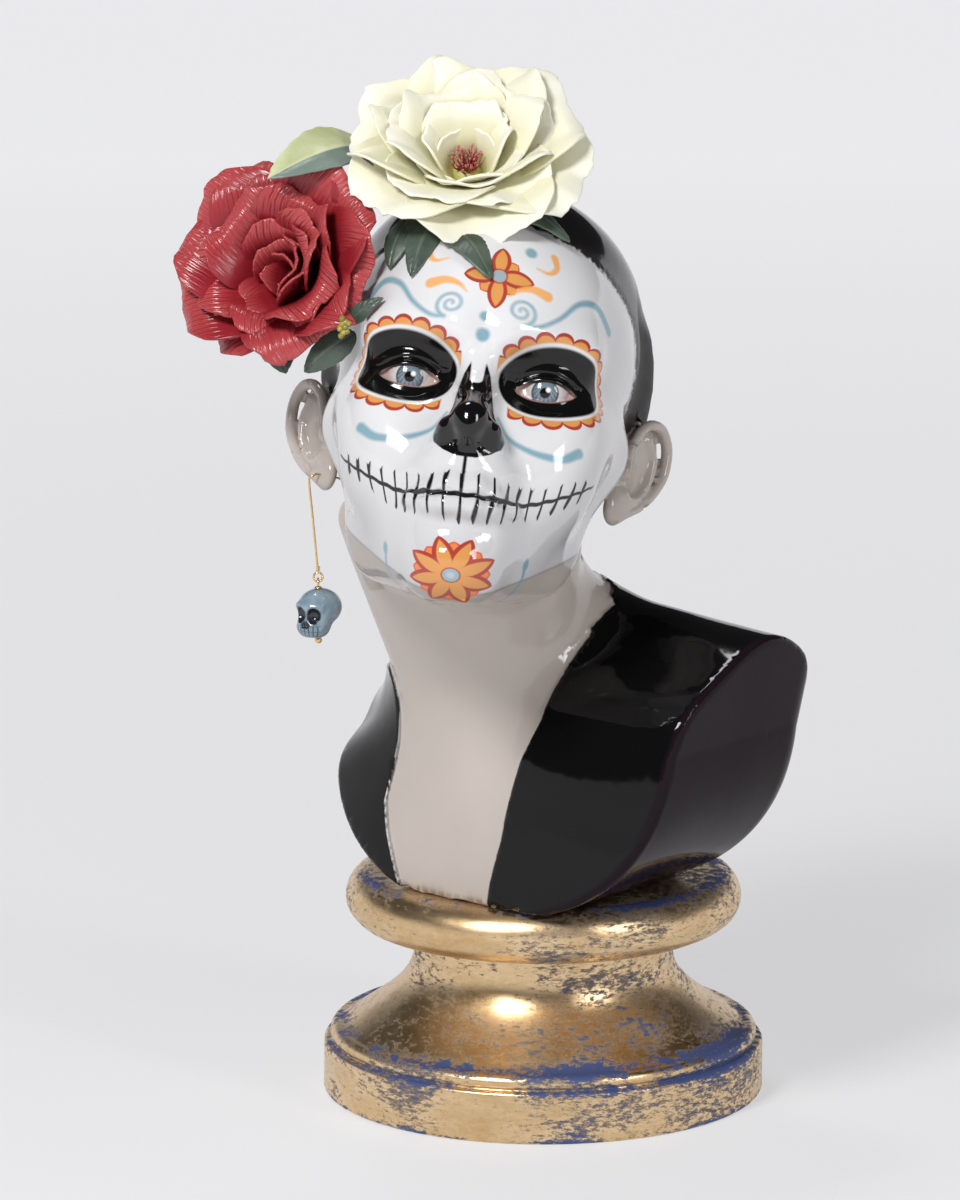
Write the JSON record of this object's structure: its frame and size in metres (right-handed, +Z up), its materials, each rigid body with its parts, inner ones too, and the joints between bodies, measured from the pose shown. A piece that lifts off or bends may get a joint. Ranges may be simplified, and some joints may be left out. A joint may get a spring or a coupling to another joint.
{
  "type": "day of the dead bust",
  "caption": "Glazed porcelain portrait bust in sugar-skull face paint, with two porcelain roses in the hair, a hanging skull-bead earring and a turned, gilded round base.",
  "frame": {"origin": "centre of the round base's underside", "axes": "+Z up, -Y towards the side from which the whole painted face is seen, +X to that viewer's right"},
  "size_m": [0.2393, 0.219, 0.4016],
  "materials": {
    "gilding": "gold leaf, worn through to blue bole",
    "porcelain": "glazed, painted",
    "cream_petal": "matt porcelain",
    "red_petal": "satin glazed porcelain",
    "pale_leaf": "matt porcelain",
    "leaf": "satin glazed porcelain",
    "berry": "satin glazed porcelain",
    "gold": "polished gilt wire",
    "bead": "glazed"
  },
  "bodies": {
    "root": {"gilded_base": "gilding", "bust": "porcelain", "cream_rose": "cream_petal", "red_rose": "red_petal", "pale_leaf": "pale_leaf", "leaf_brow": "leaf", "leaf_centre": "leaf", "leaf_temple": "leaf", "leaf_crown": "leaf", "leaf_between": "leaf", "leaf_ear": "leaf", "leaf_cheek": "leaf", "leaf_bud": "leaf", "berry_sprig": "berry", "ear_wire": "gold", "skull_bead": "bead", "bead_pin": "gold"}
  },
  "joints": []
}
